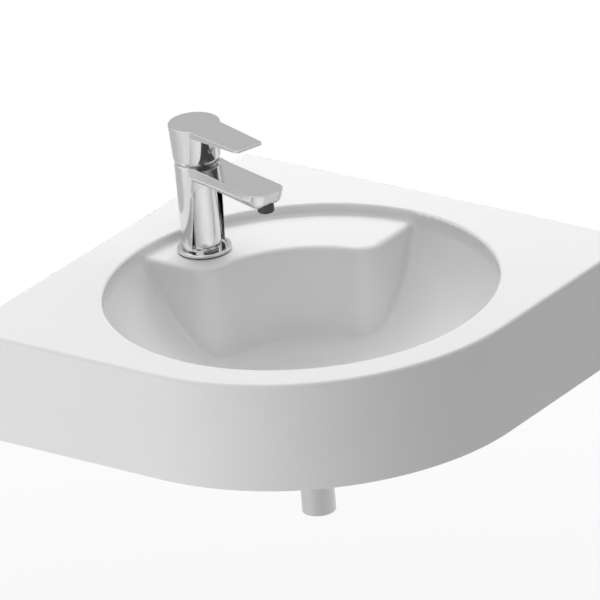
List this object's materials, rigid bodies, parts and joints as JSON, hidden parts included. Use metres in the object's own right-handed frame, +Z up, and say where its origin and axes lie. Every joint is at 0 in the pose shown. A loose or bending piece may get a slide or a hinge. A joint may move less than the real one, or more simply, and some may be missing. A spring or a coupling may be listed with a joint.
{
  "type": "corner basin",
  "caption": "Ceramic corner basin with a round bowl, a sunk tap ledge, a single-lever mixer and a push-open waste; hangs on two walls.",
  "frame": {"origin": "the corner where the two walls meet, at the height of the basin's flat top", "axes": "+Z up; the right wall is the plane Y = 0 and the left wall the plane X = 0; the basin lies towards +X and -Y"},
  "size_m": [0.45, 0.45, 0.3501],
  "materials": {
    "glaze": "glossy white glaze",
    "chrome": "bright chrome",
    "brass": "plain machined brass",
    "steel": "stainless",
    "rubber": "black rubber",
    "grey_plastic": "dark grey plastic",
    "white_plastic": "white plastic",
    "disc": "lapped ceramic"
  },
  "bodies": {
    "basin": {"basin": "glaze", "waste_top_seal": "rubber", "waste_body": "chrome", "plug_guide": "white_plastic", "waste_nut_seal": "rubber", "waste_washer": "white_plastic", "waste_lock_nut": "brass", "waste_tail": "chrome", "tap_base_seal": "rubber", "tap_base_ring": "chrome", "fixing_studs": "steel", "horseshoe_rubber": "rubber", "horseshoe_washer": "steel", "stud_nuts": "brass", "tap_body": "chrome", "aerator_housing": "grey_plastic", "aerator_insert": "grey_plastic", "aerator_seal": "rubber", "cartridge_housing": "white_plastic", "cartridge_seals": "rubber", "fixed_disc": "disc", "cartridge_nut": "brass", "dome": "chrome"},
    "turn": {"cartridge_rotor": "white_plastic", "pivot_pin": "steel"},
    "lever": {"lever_handle": "chrome", "grub_screw": "steel", "cartridge_spindle": "brass"},
    "disc": {"sliding_disc": "disc", "disc_carrier": "white_plastic"},
    "plug": {"waste_plug": "chrome", "plug_seal": "rubber", "plug_spindle": "brass"}
  },
  "joints": [
    {"name": "lever_swing", "type": "hinge", "parent": "basin", "child": "turn", "pos_m": [0.08354, -0.18294, 0.058], "axis": [0, 0, 1], "range_deg": [-50, 50]},
    {"name": "lever_lift", "type": "hinge", "parent": "turn", "child": "lever", "pos_m": [0.08354, -0.18294, 0.058], "axis": [-0.284, -0.9588, 0], "range_deg": [0, 25]},
    {"name": "disc_slide", "type": "slide", "parent": "turn", "child": "disc", "axis": [0.9588, -0.284, 0], "range_m": [0, 0.004]},
    {"name": "plug_lift", "type": "slide", "parent": "basin", "child": "plug", "axis": [0, 0, 1], "range_m": [0, 0.008]}
  ],
  "couplings": [
    {"joint": "disc_slide", "follows": "lever_lift", "m_per_rad": 0.009}
  ]
}
